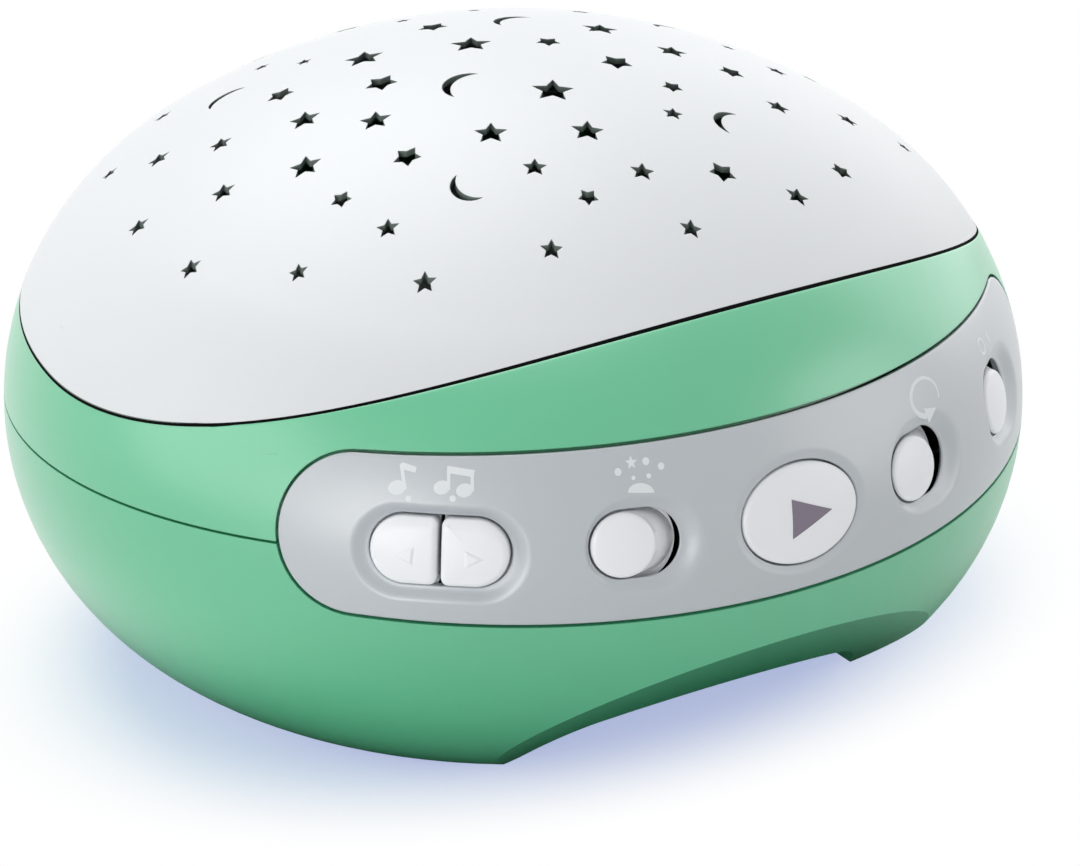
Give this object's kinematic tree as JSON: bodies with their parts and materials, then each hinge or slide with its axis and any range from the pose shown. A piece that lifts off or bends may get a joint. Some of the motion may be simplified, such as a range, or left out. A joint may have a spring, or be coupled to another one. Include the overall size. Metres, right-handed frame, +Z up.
{
  "type": "star projector night light",
  "caption": "Round table-top star projector: a perforated white dome on a green housing with an arched foot and a wrap-around control panel of keys and sliders.",
  "frame": {"origin": "on the ground under the centre of the round body", "axes": "+Z up; the control panel faces -Y; +X to the right of someone who faces the panel"},
  "size_m": [0.16, 0.16, 0.0948],
  "materials": {
    "white_plastic": "cool white satin",
    "green_plastic": "soft green satin",
    "grey_plastic": "light grey matt",
    "key_plastic": "bluish white satin",
    "black_plastic": "matt black",
    "switch_steel": "plated sheet steel",
    "circuit_board": "solder mask green",
    "screw_steel": "zinc plated",
    "lamp_plastic": "pale yellow lamp face",
    "cone_paper": "matt black paper",
    "magnet_iron": "dark ferrite",
    "cell_jacket": "plain cell jacket",
    "contact_steel": "nickel plated",
    "pad_rubber": "matt black"
  },
  "bodies": {
    "housing": {"dome_cover": "white_plastic", "upper_housing": "green_plastic", "lower_housing": "green_plastic", "control_panel": "grey_plastic", "push_switches": "black_plastic", "slide_switches": "switch_steel", "switch_boards": "circuit_board", "switch_board_screws": "screw_steel", "light_deck": "black_plastic", "deck_screws": "screw_steel", "lamp_board": "circuit_board", "lamp_chips": "lamp_plastic", "lamp_screws": "screw_steel", "main_board": "circuit_board", "main_board_parts": "black_plastic", "main_board_screws": "screw_steel", "speaker_basket": "switch_steel", "speaker_cone": "cone_paper", "speaker_magnet": "magnet_iron", "speaker_clamps": "switch_steel", "speaker_screws": "screw_steel", "battery_box": "black_plastic", "batteries": "cell_jacket", "battery_springs": "contact_steel", "battery_plates": "contact_steel", "battery_box_screws": "screw_steel", "battery_door": "green_plastic", "battery_door_screw": "screw_steel", "housing_screws": "screw_steel", "rubber_pads": "pad_rubber"},
    "previous_key_body": {"previous_key": "key_plastic"},
    "next_key_body": {"next_key": "key_plastic"},
    "play_button_body": {"play_button": "key_plastic"},
    "projector_slider_body": {"projector_slider": "key_plastic", "projector_lever": "black_plastic"},
    "loop_slider_body": {"loop_slider": "key_plastic", "loop_lever": "black_plastic"},
    "power_slider_body": {"power_slider": "key_plastic", "power_lever": "black_plastic"}
  },
  "joints": [
    {"name": "previous_press", "type": "slide", "parent": "housing", "child": "previous_key_body", "axis": [0.6345, 0.7429, -0.2133], "range_m": [0, 0.0008], "stiffness_N_per_m": 400, "springref_m": -0.001},
    {"name": "next_press", "type": "slide", "parent": "housing", "child": "next_key_body", "axis": [0.6345, 0.7429, -0.2133], "range_m": [0, 0.0008], "stiffness_N_per_m": 400, "springref_m": -0.001},
    {"name": "play_press", "type": "slide", "parent": "housing", "child": "play_button_body", "axis": [-0.0085, 0.9769, -0.2133], "range_m": [0, 0.0008], "stiffness_N_per_m": 400, "springref_m": -0.001},
    {"name": "projector_slide", "type": "slide", "parent": "housing", "child": "projector_slider_body", "axis": [0.9426, -0.3338, 0], "range_m": [0, 0.0018]},
    {"name": "loop_slide", "type": "slide", "parent": "housing", "child": "loop_slider_body", "axis": [0.9455, 0.3256, 0], "range_m": [0, 0.0018]},
    {"name": "power_slide", "type": "slide", "parent": "housing", "child": "power_slider_body", "axis": [0.7716, 0.6361, 0], "range_m": [0, 0.0018]}
  ]
}
